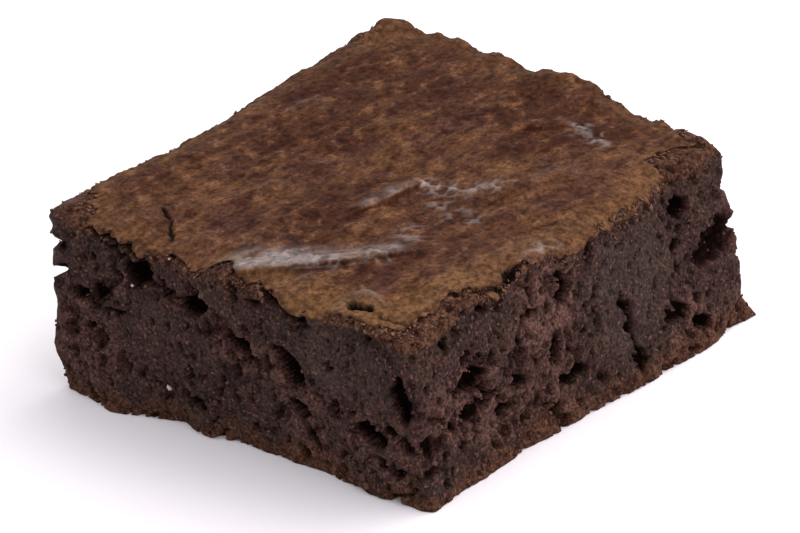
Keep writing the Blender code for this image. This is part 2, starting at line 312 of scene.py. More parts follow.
# Pale flecks that stick to the sides and the top's edge: (x, y, z, radius)
FLECKS = [
    (-14.0, -32.5, 4.9, 0.55),
    (-17.1, -32.5, 19.6, 0.45),
    (-29.2, 15.1, 27.4, 0.4),
    (-9.5, -32.0, 24.6, 0.25),
]

# The crumb block's grid: columns round it, rows up its side and rows over its shoulder
COLUMNS = 880
SIDE_ROWS = 90
SHOULDER_ROWS = 16
SHOULDER_INNER = 0.84
# How many times fewer points lie round the hidden rings under the crust and across the base
STITCH = 4
# The crust's grid lines each way
CRUST_LINES = 281

CRUMB_COUNT, CRUMB_SEED = 1800, 5
FLAKE_COUNT, FLAKE_SEED = 900, 8
FLECK_SEED = 9

# The stage, in metres: the floor's half width and level, and how far off the lights stand
FLOOR_HALF, FLOOR_LEVEL = 2.0, -0.0001
LIGHT_DISTANCE = 1.1


def hashed(cells, seed):
    """A number from -1 to 1 for each whole-numbered cell, the same on each run."""
    x, y, z = (cells[..., axis].astype(np.int64) for axis in range(3))
    mixed = ((x * 73856093) ^ (y * 19349663) ^ (z * 83492791) ^ (seed * 2654435761)) & 0xFFFFFFFF
    for _ in range(2):
        mixed = ((mixed ^ (mixed >> 16)) * 73244475) & 0xFFFFFFFF
    return (mixed ^ (mixed >> 16)) / 2147483647.5 - 1.0


def turned(points):
    """The points turned off the axes, so that the noise cells don't line up with the block."""
    return np.stack(
        [
            0.80 * points[:, 0] + 0.60 * points[:, 1],
            -0.48 * points[:, 0] + 0.64 * points[:, 1] + 0.60 * points[:, 2],
            0.36 * points[:, 0] - 0.48 * points[:, 1] + 0.80 * points[:, 2],
        ],
        axis=1,
    )


def on_plan(x, y):
    """Points of the plan, at no height."""
    return np.stack([x, y, np.zeros(len(x))], axis=1)


def noise(points, cell, seed):
    """Smooth noise from -1 to 1: a random value at each cell corner, blended by quintic weights between."""
    scaled = turned(points) / cell
    low = np.floor(scaled)
    part = scaled - low
    part = part**3 * (part * (part * 6 - 15) + 10)
    total = np.zeros(len(points))
    for corner in np.ndindex(2, 2, 2):
        share = np.prod(np.where(corner, part, 1 - part), axis=1)
        total += share * hashed(low + np.array(corner), seed)
    return total


def grains(points, cell, seed):
    """Rounded grains packed together: 1 minus the squared distance to the nearest of one random point
    per cell, so each grain is a dome with a crease round it. Also returns a random tone per grain."""
    scaled = turned(points) / cell
    low = np.floor(scaled)
    nearest = np.full(len(points), 9.0)
    tone = np.zeros(len(points))
    for step in np.ndindex(3, 3, 3):
        at = low + np.array(step) - 1
        middle = at + 0.5 + 0.42 * np.stack([hashed(at, seed + axis) for axis in range(3)], axis=1)
        away = ((scaled - middle) ** 2).sum(axis=1)
        closer = away < nearest
        nearest[closer] = away[closer]
        tone[closer] = hashed(at, seed + 7)[closer]
    return np.clip(1 - 1.6 * nearest, -0.6, 1.0), 0.5 + 0.5 * tone


def eased(value):
    """0 to 1 with a soft start and end, for values from 0 to 1."""
    held = np.clip(value, 0.0, 1.0)
    return held * held * (3 - 2 * held)


def spots(x, y, places):
    """A sum of soft round spots on the plan, each given as (x, y, radius, strength)."""
    total = np.zeros(len(x))
    for mid_x, mid_y, radius, strength in places:
        total += strength * eased(1 - np.hypot(x - mid_x, y - mid_y) / radius)
    return total


def corner_blend(a, b, shifts, axis):
    """A corner value spread over the block: a and b run from -1 to 1 along x and y."""
    total = np.zeros(len(a))
    for name, (x_sign, y_sign) in CORNER_SIGNS.items():
        total += shifts[name][axis] * (1 + x_sign * a) * (1 + y_sign * b) / 4
    return total


def pocket_depth(along, up, pockets, wall):
    """How deep the opened pockets are: each is a tilted ellipse with steep walls and a flat floor."""
    depth = np.zeros(len(along))
    for middle, height, half_length, half_width, tilt, deep in pockets:
        turn = math.radians(tilt)
        run = (along - middle) * math.cos(turn) + (up - height) * math.sin(turn)
        rise = (up - height) * math.cos(turn) - (along - middle) * math.sin(turn)
        reach = np.hypot(run / half_length, rise / half_width)
        depth = np.maximum(depth, deep * eased((1 + wall / 2 - reach) / wall))
    return depth


def drawn_pockets(seed, count, low, high, shallow, deep):
    """Pockets for a side, drawn at random: one in each upright strip, so that none is bare."""
    draw = np.random.RandomState(seed)
    strip = (SIDE - 6) / count
    found = []
    for number in range(count):
        along = -SIDE / 2 + 3 + strip * (number + draw.uniform(0.25, 0.75))
        height = draw.uniform(4.0, 21.0)
        half_length = draw.uniform(low, high)
        half_width = half_length * draw.uniform(0.3, 0.75)
        tilt = draw.uniform(-70, 70)
        found.append((along, height, half_length, half_width, tilt, draw.uniform(shallow, deep)))
    return found


POCKETS = {
    "front": FRONT_POCKETS,
    "right": RIGHT_POCKETS,
    "back": drawn_pockets(BACK_SEED, DRAWN_POCKETS, 1.2, 3.2, 1.5, 3.0),
    "left": drawn_pockets(LEFT_SEED, DRAWN_POCKETS, 1.2, 3.2, 1.5, 3.0),
}
HOLES = {
    "front": FRONT_HOLES,
    "right": RIGHT_HOLES,
    "back": drawn_pockets(BACK_SEED + 1, DRAWN_HOLES, 0.5, 1.4, 1.0, 1.6),
    "left": drawn_pockets(LEFT_SEED + 1, DRAWN_HOLES, 0.5, 1.4, 1.0, 1.6),
}


def side_views(x, y, facing):
    """For each side: how squarely each point faces it, and how far along it the point lies."""
    return {
        "front": (eased((-facing[:, 1] - 0.3) / 0.4), x),
        "right": (eased((facing[:, 0] - 0.3) / 0.4), y),
        "back": (eased((facing[:, 1] - 0.3) / 0.4), -x),
        "left": (eased((-facing[:, 0] - 0.3) / 0.4), -y),
    }


def fold_shape(x, y):
    """The rucks in the crust: each runs along an arc, with a slow rise behind it and a steeper fall.
    Returns their height, then from 0 to 1 how much each point is on the stretched back of a crest and
    how much it is tucked under one, then how far each point is pushed over the fall, in x and y."""
    height, crest, tuck = np.zeros((3, len(x)))
    push = np.zeros((len(x), 2))
    for mid_x, mid_y, radius, start, end, high in FOLDS:
        from_middle = np.maximum(np.hypot(x - mid_x, y - mid_y), 1e-6)
        distance = from_middle - radius
        angle = np.arctan2(y - mid_y, x - mid_x)
        along = eased((angle - math.radians(start)) * radius / FOLD_END)
        along *= eased((math.radians(end) - angle) * radius / FOLD_END)
        profile = np.where(distance < 0, eased(1 + distance / FOLD_RISE), eased(1 - distance / FOLD_FALL))
        height = np.maximum(height, high * along * profile)
        back = np.where(distance < 0, eased(1.3 + distance / CREST_WIDTH), eased(1 - distance / 0.5))
        crest = np.maximum(crest, along * back)
        tuck = np.maximum(tuck, along * eased(1.3 - np.abs(distance - TUCK_DROP) / TUCK_WIDTH))
        over = CREST_OVERHANG * high * along * eased(1 - np.abs(distance) / 1.5) / from_middle
        push += over[:, None] * np.column_stack([x - mid_x, y - mid_y])
    return height, crest, tuck, push


def slanted(x, y, width, length):
    """Plan coordinates squeezed so that noise on them runs in streaks the way the crust was drawn."""
    turn = math.radians(RIPPLE_TURN)
    across = (x * math.cos(turn) - y * math.sin(turn)) / width
    onward = (x * math.sin(turn) + y * math.cos(turn)) / length
    return on_plan(across, onward)


def crust_relief(x, y, a, b):
    """How far the crust stands above its plain sloping level: sag, ripples, folds and a worn rim."""
    flat = on_plan(x, y)
    ripples = noise(slanted(x, y, RIPPLE_WIDTH, RIPPLE_LENGTH), 1.0, 11)
    out = SAG_DEPTH * noise(flat, SAG_CELL, SAG_SEED) + RIPPLE_DEPTH * ripples + fold_shape(x, y)[0]
    from_rim = (1 - np.maximum(np.abs(a), np.abs(b))) * SIDE / 2
    worn = 0.55 + 0.45 * noise(flat, 5.0, 13)
    out -= RIM_SAG * worn * eased(1 - from_rim / RIM_SAG_WIDTH) ** 2
    return out - spots(x, y, CRUMBLED)


def side_lumps(points):
    """The cut sides' lumps, crags and chips."""
    out = LUMP_DEPTH * noise(points, LUMP_CELL, LUMP_SEED)
    out += CRAG_DEPTH * noise(points, CRAG_CELL, CRAG_SEED)
    return out + CHIP_DEPTH * noise(points, CHIP_CELL, CHIP_SEED)


def side_relief(points, facing, top, wall, ragged_by):
    """How far the cut sides stand out: lumps, the crust's lip, the toe and swells. Also how deep the
    pockets and splits are, with walls of that share of their size and edges that wander by ragged_by."""
    x, y, z = points.T
    out = side_lumps(points)
    ragged = 0.5 * noise(points, 2.2, 4)
    ragged += ragged_by * (noise(points, 1.1, 6) + 0.6 * noise(points, 0.55, 7))
    hollow = np.zeros(len(x))
    for side, (towards, along) in side_views(x, y, facing).items():
        depth = pocket_depth(along + ragged, z - ragged, POCKETS[side], wall)
        hollow = np.maximum(hollow, towards * depth)
    at_corner = eased((-facing[:, 0] - 0.15) / 0.5) * eased((-facing[:, 1] - 0.05) / 0.5)
    for up, half_height, deep, slope in CORNER_SPLITS:
        away = np.abs(z - up - slope * (x - y)) / half_height
        hollow = np.maximum(hollow, at_corner * deep * eased(1.6 - away))
    below_rim = top - z
    patchy = 0.5 + 0.5 * noise(points, 7.0, 5)
    out += LIP_DEPTH * patchy * eased(1.6 - below_rim / LIP_HEIGHT)
    out -= GROOVE_DEPTH * patchy * eased(1 - np.abs(below_rim - GROOVE_DROP) / LIP_HEIGHT)
    from_toe = np.hypot(x - SIDE / 2, y - SIDE / 2) / TOE_RADIUS
    out += TOE_REACH * eased(1 - from_toe) * eased(1 - z / TOE_HEIGHT)
    for mid_x, mid_y, mid_z, radius, extra in SWELLS:
        out += extra * eased(1 - np.sqrt((x - mid_x) ** 2 + (y - mid_y) ** 2 + (z - mid_z) ** 2) / radius)
    return out, hollow


def plain_block(cube):
    """The leaning block with rounded edges and the crust's broad relief. cube holds points on a cube from
    -1 to 1. Returns the points, the way each faces, and the height of the rim above each."""
    spread = (1 - CROWDING) * cube + CROWDING * np.sin(cube * math.pi / 2)
    a, b = spread[:, 0], spread[:, 1]
    up = (spread[:, 2] + 1) / 2
    facing = np.sign(cube) * np.abs(cube) ** EDGE_SHARPNESS
    facing[:, 2] = np.maximum(facing[:, 2], 0)
    length = np.linalg.norm(facing, axis=1)
    facing /= np.where(length > 1e-9, length, 1)[:, None]

    inset = 1 - 2 * CORNER_RADIUS / SIDE
    in_a, in_b = a * inset, b * inset
    base_x, base_y = (corner_blend(in_a, in_b, BASE_SHIFT, axis) for axis in (0, 1))
    top_x, top_y, top_z = (corner_blend(in_a, in_b, TOP_SHIFT, axis) for axis in (0, 1, 2))
    x = in_a * SIDE / 2 + base_x * (1 - up) + top_x * up + CORNER_RADIUS * facing[:, 0]
    y = in_b * SIDE / 2 + base_y * (1 - up) + top_y * up + CORNER_RADIUS * facing[:, 1]
    top = HEIGHT + top_z
    z = up * (top - RIM_RADIUS) + RIM_RADIUS * facing[:, 2]
    relief = crust_relief(x, y, a, b)
    return np.stack([x, y, z + up**3 * relief], axis=1), facing, top + relief


def footprint_middle():
    """The middle of the plain block's box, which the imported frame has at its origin."""
    lowest, highest = np.full(2, np.inf), np.full(2, -np.inf)
    lines = [np.linspace(-1, 1, parts + 1) for parts in PLAIN_DIVISIONS]
    for axis in range(3):
        across = [line for other, line in enumerate(lines) if other != axis]
        grid = np.stack(np.meshgrid(*across), axis=-1).reshape(-1, 2)
        for level in (-1, 1):
            cube = np.insert(grid, axis, level, axis=1)
            points, facing, top = plain_block(cube)
            out, hollow = side_relief(points, facing, top, PLAIN_WALL, 0.0)
            flat = np.hypot(facing[:, 0], facing[:, 1])
            plan = points[:, :2] + ((out - hollow) * flat)[:, None] * facing[:, :2]
            lowest = np.minimum(lowest, plan.min(axis=0))
            highest = np.maximum(highest, plan.max(axis=0))
    return (lowest + highest) / 2


def square_edge(turns):
    """Points round the edge of the square from -1 to 1, for turns from 0 to 4, starting at the left
    corner and going along the front."""
    corners = np.array([(-1, -1), (1, -1), (1, 1), (-1, 1), (-1, -1)], dtype=float)
    side = np.floor(turns).astype(int) % 4
    part = (turns - np.floor(turns))[:, None]
    return corners[side] * (1 - part) + corners[side + 1] * part


def rim_lumps(x, y, cube):
    """Small rises and dips along the rim of the crust, most of all at the back."""
    flat = on_plan(x, y)
    from_rim = (1 - np.abs(cube[:, :2]).max(axis=1)) * SIDE / 2
    strength = 0.15 + 0.65 * eased((y - 20) / 8)
    lumps = noise(flat, 4.4, 44) + 0.7 * noise(flat, 2.3, 64)
    return strength * lumps * eased(1 - from_rim / 4.5) * eased(cube[:, 2])


def crust_reach(edge):
    """How far past the rim the crust ends, for points on the edge of the square: ragged, and set further
    out or broken back at the named places."""
    flat = np.column_stack([edge * SIDE / 2, np.zeros(len(edge))])
    reach = CRUST_REACH + spots(flat[:, 0], flat[:, 1], REACHES)
    return reach + 0.6 * noise(flat, 6.0, 31) + 0.7 * noise(flat, 2.1, 32) + 0.45 * noise(flat, 0.8, 33)


def cube_edge(cube):
    """Where each point of the cube lies round its edge, as seen from above."""
    far = np.maximum(np.abs(cube[:, 0]), np.abs(cube[:, 1]))
    return cube[:, :2] / np.maximum(far, 1e-9)[:, None]


def knife_worked(points, facing):
    """-1 where the knife pulled the crumb open, 1 where it smeared the crumb smooth."""
    x, y, z = points.T
    total = 0.35 * noise(points, 3.0, 52)
    views = side_views(x, y, facing)
    for side, middle, height, half_length, half_height, strength in KNIFE_MARKS:
        towards, along = views[side]
        away = np.hypot((along - middle) / half_length, (z - height) / half_height)
        total += strength * towards * eased(1.6 - away)
    for side in ("back", "left"):
        total += views[side][0] * 1.2 * noise(points, 11.0, 51)
    return np.clip(total, -1, 1)


def crumb_surface(cube):
    """The finished crumb: the plain block's relief, then grains of two sizes, small pores and holes, all
    moved the way each point faces. Returns the points and what the material reads."""
    plain, facing, top = plain_block(cube)
    out, pockets = side_relief(plain, facing, top, POCKET_WALL, POCKET_WANDER)
    flat = np.hypot(facing[:, 0], facing[:, 1])
    plain[:, 2] += rim_lumps(plain[:, 0], plain[:, 1], cube)
    worked = knife_worked(plain, facing)
    smear = np.clip(worked, 0, 1)
    torn = np.clip(0.4 - 0.6 * worked, 0.12, 1.0)

    ragged = 0.4 * noise(plain, 1.1, 54) + 0.3 * noise(plain, 0.5, 48)
    hollow = pockets.copy()
    x, y, z = plain.T
    for side, (towards, along) in side_views(x, y, facing).items():
        hollow = np.maximum(hollow, towards * pocket_depth(along + ragged, z + ragged, HOLES[side], 0.6))
    drawn = plain * np.array([1.0, 1.0, 0.75])
    jagged = 0.28 * noise(plain, 0.6, 50)
    pores = np.zeros(len(x))
    for cell, seed, share, level, lower, soft, deep in PORES:
        above = noise(drawn, cell, seed) + share * jagged - level + lower * torn
        pores = np.maximum(pores, deep * eased(above / soft))

    big, big_tone = grains(plain, 1.9, 60)
    small, small_tone = grains(plain, 0.85, 70)
    fine = torn * (0.12 * big + 0.13 * small) + 0.10 * noise(plain, 0.6, 57)

    below_rim = top - plain[:, 2]
    reach = crust_reach(cube_edge(cube))
    past_rim = np.where(cube[:, 2] < 0.9999, below_rim, -(1 - np.abs(cube[:, :2]).max(axis=1)) * SIDE / 2)
    covered = eased((reach - past_rim - EDGE_OVERLAP) / 0.8 + 0.5)
    moved = out + fine * (1 - 0.8 * covered) - (pores + hollow) * (1 - covered) - CRUST_BED * covered
    shallow = eased(plain[:, 2] / 0.8)
    points = plain.copy()
    points[:, :2] += (moved * flat)[:, None] * facing[:, :2]
    undercut = 0.9 * spots(x, y, LIFTED) * eased(1 - np.abs(past_rim - reach) / 1.1)
    undercut += crack_depth(x, y) * facing[:, 2] ** 2
    lowered = (fine - pores) * (1 - covered) - CRUST_BED - undercut
    points[:, 2] += lowered * facing[:, 2] ** 2
    points[:, 2] += 0.25 * noise(plain, 0.9, 58) * shallow * (1 - facing[:, 2]) * (1 - covered)
    points[:, 2] = np.maximum(points[:, 2], 0.0)
    points[cube[:, 2] <= -1, 2] = 0.0

    # A warmer tint towards the foot and just below the crust's edge
    near_base = eased(1.3 - plain[:, 2] / (3.2 + 2.4 * noise(plain, 4.0, 59)))
    near_crust = eased(1.2 - np.maximum(past_rim, 0) / (2.6 + 2.2 * noise(plain, 4.5, 62)))
    near_crust *= 0.65 + 0.35 * np.maximum(eased((x - 24) / 5), facing[:, 2])
    return points, {
        # Painted shade: almost black in the pockets, holes and pores, under the crust's lifted lip and in
        # its splits
        "hollow": np.clip((hollow + 0.7 * pores + 1.5 * undercut) / 1.6, 0, 1),
        "smear": smear,
        "torn": np.clip(-worked, 0, 1),
        "tone": 0.6 * small_tone + 0.4 * big_tone,
        "warm_foot_and_edge": np.clip(0.85 * near_base + 0.95 * near_crust * (1 - covered), 0, 1),
        # Painted shade: darker in the creases between the grains
        "crease": np.clip(0.5 - 0.5 * (big + small) / 2, 0, 1),
        "shore": eased(1 - np.abs(past_rim - reach) / 2.2) * (1 - covered),
    }


def crack_depth(x, y):
    """How deep the crust is split: each split runs between two points with a wandering edge."""
    flat = on_plan(x, y)
    wander_x, wander_y = 0.5 * noise(flat, 1.4, 34), 0.5 * noise(flat, 1.4, 35)
    depth = np.zeros(len(x))
    for start_x, start_y, end_x, end_y, half_width, deep in CRUST_CRACKS:
        run_x, run_y = end_x - start_x, end_y - start_y
        part = ((x + wander_x - start_x) * run_x + (y + wander_y - start_y) * run_y) / (run_x**2 + run_y**2)
        part = np.clip(part, 0, 1)
        away = np.hypot(x + wander_x - start_x - part * run_x, y + wander_y - start_y - part * run_y)
        depth = np.maximum(depth, deep * eased(1.5 - away / half_width))
    return depth


def crust_surface(lines_s, lines_t):
    """The crust's upper face for s and t from -1 to 1: squares about the middle are carried out to the
    ragged edge and, past the rim, down the side. The height is the plain block's, plus crinkles, the
    lace's raised web, the blisters' rings and a lifted lip, less the splits. Crests lean over."""
    far = np.maximum(np.abs(lines_s), np.abs(lines_t))
    edge = np.column_stack([lines_s, lines_t]) / np.maximum(far, 1e-9)[:, None]
    reach = crust_reach(edge)
    out_by = far * (SIDE / 2) + reach * eased((far - 0.7) / 0.3) - SIDE / 2
    on_top = np.minimum(1 + out_by * 2 / SIDE, 1)
    down = np.maximum(out_by, 0) * 2 / HEIGHT
    cube = np.column_stack([edge * on_top[:, None], 1 - down])
    plain, facing = plain_block(cube)[:2]
    plain[:, 2] += rim_lumps(plain[:, 0], plain[:, 1], cube)
    x, y = plain.T[:2]
    flat = np.hypot(facing[:, 0], facing[:, 1])
    out = side_lumps(plain)

    crumple = np.clip(spots(x, y, CRUMPLES), 0, 1)
    lace = np.clip(spots(x, y, LACES), 0, 1)
    crest, tuck, push = fold_shape(x, y)[1:]
    streak = 0.6 * noise(slanted(x, y, 2.6, 5.5), 1.0, 36) + 0.4 * noise(slanted(x, y, 1.3, 2.4), 1.0, 37)
    hair = noise(slanted(x, y, 0.8, 1.7), 1.0, 43)
    web = eased(1.15 - 2.2 * np.abs(noise(plain, 1.2, 45))) * eased(0.68 + noise(plain, 0.8, 53))
    net = lace * web
    wrinkle = 1 - 2 * np.abs(streak)
    crinkle = (0.07 + 0.2 * crumple) * wrinkle + 0.07 * noise(plain, 1.4, 38) + 0.08 * noise(plain, 0.8, 39)
    crinkle += 0.10 * hair * crumple + 0.2 * web * np.maximum(lace, crumple * crest)
    ring = np.zeros(len(x))
    for mid_x, mid_y, radius, high in BLISTERS:
        from_ring = np.hypot(x - mid_x, y - mid_y) - radius
        behind = eased(0.5 + ((y - mid_y) - (x - mid_x)) / (2.4 * radius))
        raised = behind * eased(1 - np.abs(from_ring) / 1.4) * (0.6 + 0.6 * noise(plain, 2.0, 46))
        crinkle += high * raised
        ring = np.maximum(ring, high * raised)
    cracks = crack_depth(x, y)
    from_edge = (1 - far) * SIDE / 2
    near_edge = eased(1 - from_edge / 2.6)
    lift = 0.04 + near_edge * (spots(x, y, LIFTED) + 0.1 * noise(plain, 2.6, 40))
    broken = grains(plain, 0.7, 80)[0]
    flaking = eased(1 - from_edge / (1.7 + 1.5 * noise(plain, 3.0, 42)))
    rise = crinkle + lift - cracks + 0.16 * flaking * broken
    points = plain.copy()
    points[:, :2] += ((out + rise) * flat)[:, None] * facing[:, :2] + push
    points[:, 2] += rise * facing[:, 2]

    sheen = crumple * crest * (0.7 + 0.5 * web + 0.6 * hair) + 0.75 * net + 0.5 * ring
    back_rim = eased(1 - from_edge / 4.9) * eased((y - 16) / 14)
    # Painted shade: the top darkens towards the far corner; it is also darker along the far rim and in
    # random blotches
    far_shade_and_blotches = 0.5 + (y - x) / 120 + 0.7 * noise(plain, 8.0, 63) + 0.9 * back_rim
    near_corner = eased(1.3 - np.hypot(x - 20, y + 24) / 20)
    return points, {
        "sheen": np.clip(sheen, 0, 1),
        # Painted shade in the crinkles' hollows and in the tuck under each fold's crest, varied at random
        "valley_shade": np.clip(0.4 - 0.5 * wrinkle - 0.6 * noise(plain, 1.8, 47) + 1.2 * tuck, 0, 1),
        "far_shade_and_blotches": np.clip(far_shade_and_blotches, 0, 1),
        "worn": eased(1 - from_edge / (1.4 + 1.1 * noise(plain, 4.0, 41))),
        # Painted shade, almost black, in the splits through the crust
        "crack_shade": np.clip(2.5 * cracks, 0, 1),
        # Lighter along these streaks: partly painted light on the crinkles, partly streaky tone
        "streak": 0.5 + 0.5 * streak,
        "rim": eased(1 - from_edge / 9.0) * (0.5 + 0.5 * near_corner),
    }


def stitch_rings(fine_ring, coarse_ring):
    """Joins a ring to one with STITCH times fewer points, by many-sided faces."""
    count = len(coarse_ring)
    faces = []
    for number in range(count):
        first = number * STITCH
        outer = [fine_ring[(first + step) % len(fine_ring)] for step in range(STITCH + 1)]
        faces.append(outer + [coarse_ring[(number + 1) % count], coarse_ring[number]])
    return faces


def quads_between(lower, upper):
    """Four-sided faces between two rings of the same number of points."""
    return np.stack([lower, np.roll(lower, -1), np.roll(upper, -1), upper], axis=1)


def cube_rings(edge, steps, level):
    """Cube points on rings like the edge, each at one of the steps inwards and all at one level."""
    return np.concatenate([np.column_stack([edge * step, np.full(len(edge), level)]) for step in steps])


def cap_faces(ring, start, rows, columns):
    """Faces that close a fine ring: stitched to rows of coarser rings, whose points are numbered from
    start, with one many-sided face inside the last."""
    rings = start + np.arange(rows * columns).reshape(rows, columns)
    faces = stitch_rings(ring.tolist(), rings[0].tolist())
    for low, high in zip(rings[:-1], rings[1:]):
        faces += quads_between(low, high).tolist()
    return faces + [rings[-1].tolist()]


def new_piece(name, points, faces, material, readings):
    """A mesh object from points in millimetres, with one value a point for each of the readings."""
    mesh = bpy.data.meshes.new(name)
    mesh.from_pydata(((points - MIDDLE) * MM).tolist(), [], faces)
    for reading, values in readings.items():
        layer = mesh.attributes.new(reading, "FLOAT", "POINT")
        layer.data.foreach_set("value", np.asarray(values, dtype=np.float32))
    mesh.materials.append(material)
    mesh.shade_smooth()
    mesh.update()
    piece = bpy.data.objects.new(name, mesh)
    bpy.context.scene.collection.objects.link(piece)
    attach(piece, "root")
    return piece


def make_crumb_block(material):
    """The block as rings: up the side, over the shoulder, and fewer and fewer points under the crust and
    across the base. Ring k holds the points round the square at one height or one step inwards."""
    turns = np.arange(COLUMNS) * 4 / COLUMNS
    edge = square_edge(turns)
    levels = [(1.0, level) for level in np.linspace(-1, 1, SIDE_ROWS + 1)]
    levels += [(inward, 1.0) for inward in np.linspace(1, SHOULDER_INNER, SHOULDER_ROWS + 1)[1:]]
    fine = np.concatenate([cube_rings(edge, [inward], level) for inward, level in levels])
    points, readings = crumb_surface(fine)
    fine_rings = np.arange(len(fine)).reshape(len(levels), COLUMNS)
    faces = [quads_between(low, high) for low, high in zip(fine_rings[:-1], fine_rings[1:])]
    faces = np.concatenate(faces).tolist()

    coarse_edge = edge[::STITCH]
    steps = (0.82, 0.7, 0.5, 0.3, 0.1)
    caps = [(fine_rings[-1], 1.0, -BLOCK_SUNK), (fine_rings[0], -1.0, 0.0)]
    for ring, level, sunk in caps:
        inner = plain_block(cube_rings(coarse_edge, steps, level))[0]
        inner[:, 2] = inner[:, 2] + sunk if level > 0 else 0.0
        cap = cap_faces(ring, len(points), len(steps), len(coarse_edge))
        points = np.concatenate([points, inner])
        if level < 0:
            cap = [face[::-1] for face in cap]
        faces += cap
        readings = {name: np.append(values, np.zeros(len(inner))) for name, values in readings.items()}
    return new_piece("crumb_block", points, faces, material, readings)


def make_crust(material):
    """The crust as a closed thin sheet: a square grid on top, a ragged edge with a thickness, and a
    plain underside that lies hidden in the crumb."""
    line = np.linspace(-1, 1, CRUST_LINES)
    s, t = (grid.ravel() for grid in np.meshgrid(line, line))
    points, readings = crust_surface(s, t)
    number = np.arange(CRUST_LINES**2).reshape(CRUST_LINES, CRUST_LINES)
    quads = np.stack([number[:-1, :-1], number[:-1, 1:], number[1:, 1:], number[1:, :-1]], axis=-1)
    faces = quads.reshape(-1, 4).tolist()
    border = np.concatenate([number[0, :-1], number[:-1, -1], number[-1, :0:-1], number[:0:-1, 0]])

    inward = np.column_stack([s[border], t[border]])
    inward /= np.linalg.norm(inward, axis=1)[:, None]
    start = len(points)
    for aside, down in ((EDGE_SLANT, 0.0), (UNDERSIDE_IN, UNDERSIDE_DOWN)):
        drop = np.full(len(border), CRUST_THICKNESS + down)
        points = np.concatenate([points, points[border] - np.column_stack([aside * inward, drop])])
    lower = start + np.arange(len(border))
    deeper = lower + len(border)
    faces += quads_between(lower, border).tolist() + quads_between(deeper, lower).tolist()

    coarse = np.column_stack([s[border], t[border]])[::STITCH]
    steps = (0.86, 0.6, 0.3, 0.1)
    inner = plain_block(cube_rings(coarse, steps, 1.0))[0] - np.array([0.0, 0.0, CRUST_SUNK])
    under = cap_faces(deeper, len(points), len(steps), len(coarse))
    points = np.concatenate([points, inner])
    faces += [face[::-1] for face in under]
    extra = len(points) - CRUST_LINES**2
    for name, values in readings.items():
        fill = 1.0 if name == "worn" else 0.0
        readings[name] = np.append(values, np.full(extra, fill))
    return new_piece("crust", points, faces, material, readings)


def octahedron_ball():
    """A ball of 18 points and 32 faces: an octahedron with each face cut in four and pushed out."""
    points = [(1, 0, 0), (-1, 0, 0), (0, 1, 0), (0, -1, 0), (0, 0, 1), (0, 0, -1)]
    faces = [(0, 2, 4), (2, 1, 4), (1, 3, 4), (3, 0, 4), (2, 0, 5), (1, 2, 5), (3, 1, 5), (0, 3, 5)]
    middles = {}
    cut = []
    for a, b, c in faces:
        halves = []
        for pair in ((a, b), (b, c), (c, a)):
            key = tuple(sorted(pair))
            if key not in middles:
                middles[key] = len(points)
                points.append(tuple((np.array(points[pair[0]]) + np.array(points[pair[1]])) / 2))
            halves.append(middles[key])
        ab, bc, ca = halves
        cut += [(a, ab, ca), (ab, b, bc), (ca, bc, c), (ab, bc, ca)]
    points = np.array(points, dtype=float)
    return points / np.linalg.norm(points, axis=1)[:, None], np.array(cut)


def random_turns(draw, count):
    """A random turn for each piece, as count matrices from random unit quaternions."""
    q = draw.normal(size=(count, 4))
    w, x, y, z = (q / np.linalg.norm(q, axis=1)[:, None]).T
    rows = [
        [1 - 2 * (y * y + z * z), 2 * (x * y - w * z), 2 * (x * z + w * y)],
        [2 * (x * y + w * z), 1 - 2 * (x * x + z * z), 2 * (y * z - w * x)],
        [2 * (x * z - w * y), 2 * (y * z + w * x), 1 - 2 * (x * x + y * y)],
    ]
    return np.array(rows).transpose(2, 0, 1)


def point_values(mesh, name, width=1):
    """One attribute of a mesh's points as an array."""
    values = np.empty(len(mesh.vertices) * width)
    mesh.attributes[name].data.foreach_get("vector" if width == 3 else "value", values)
    return values.reshape(-1, width) if width > 1 else values


def point_normals(mesh):
    """The way each of a mesh's points faces."""
    values = np.empty(len(mesh.vertices) * 3)
    mesh.vertices.foreach_get("normal", values)
    return values.reshape(-1, 3)


def lumpy_bits(draw, sizes, flatness, turns):
    """Closed lumpy balls of 32 faces each: pushed in and out at random, squashed by flatness and turned."""
    ball, ball_faces = octahedron_ball()
    count = len(sizes)
    lumps = 1 + 0.28 * draw.normal(size=(count, len(ball), 1)).clip(-1.6, 1.6)
    shapes = ball[None] * lumps * flatness * sizes[:, None, None]
    shapes = np.einsum("nij,nkj->nki", turns, shapes)
    faces = (ball_faces[None] + (np.arange(count) * len(ball))[:, None, None]).reshape(-1, 3)
    return shapes, faces


